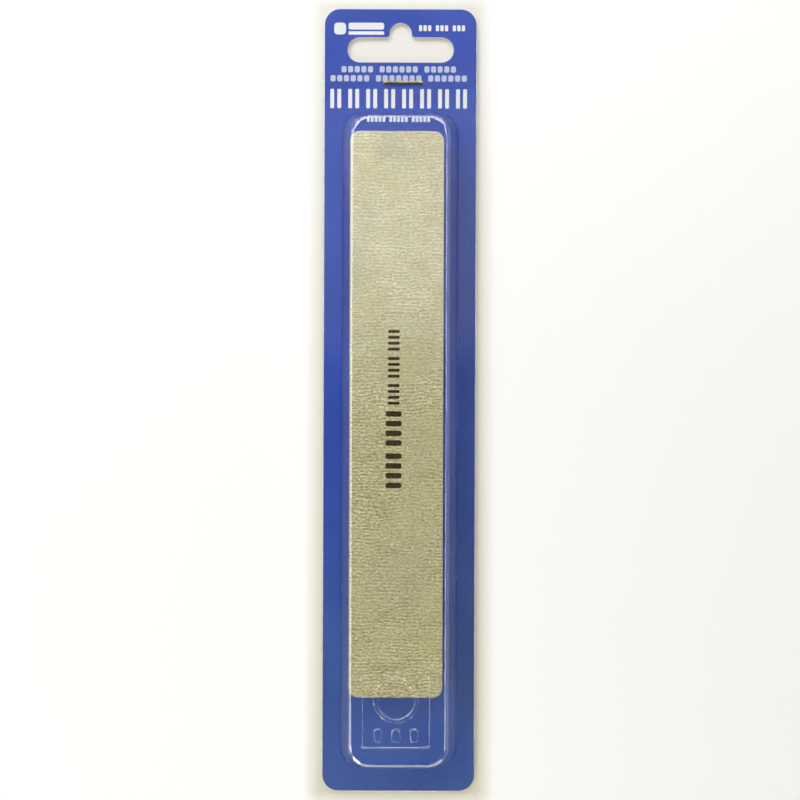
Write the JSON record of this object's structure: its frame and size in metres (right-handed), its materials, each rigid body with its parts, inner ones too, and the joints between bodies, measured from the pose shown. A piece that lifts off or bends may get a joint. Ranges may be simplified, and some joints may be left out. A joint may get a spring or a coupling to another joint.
{
  "type": "carded sanding stick",
  "caption": "Soft foam-cored sanding stick sealed under a clear domed cover on a stapled blue backing card with a hang slot.",
  "frame": {"origin": "under the middle of the pack's bounding box, on the plane of its lowest faces, the folded flaps behind the card", "axes": "+X across the pack, +Y along its length toward the hang slot, +Z out of the card through the clear cover; the pack lies on its back"},
  "size_m": [0.0496, 0.2506, 0.01],
  "materials": {
    "printed_card": "satin",
    "clear_cover": "gloss",
    "staple_wire": "polished",
    "abrasive_paper": "matte",
    "adhesive_film": "satin",
    "soft_foam": "matte",
    "white_plastic": "satin"
  },
  "bodies": {
    "pack": {"backing_card": "printed_card", "blister_shell": "clear_cover", "staple": "staple_wire"},
    "stick": {"front_abrasive_sheet": "abrasive_paper", "front_face_adhesive": "adhesive_film", "front_foam_layer": "soft_foam", "front_core_adhesive": "adhesive_film", "stiffener_strip": "white_plastic", "back_core_adhesive": "adhesive_film", "back_foam_layer": "soft_foam", "back_face_adhesive": "adhesive_film", "back_abrasive_sheet": "abrasive_paper"}
  },
  "joints": [
    {"name": "stick_slide", "type": "slide", "parent": "pack", "child": "stick", "axis": [0, 1, 0], "range_m": [-0.0196, 0.0032]}
  ]
}
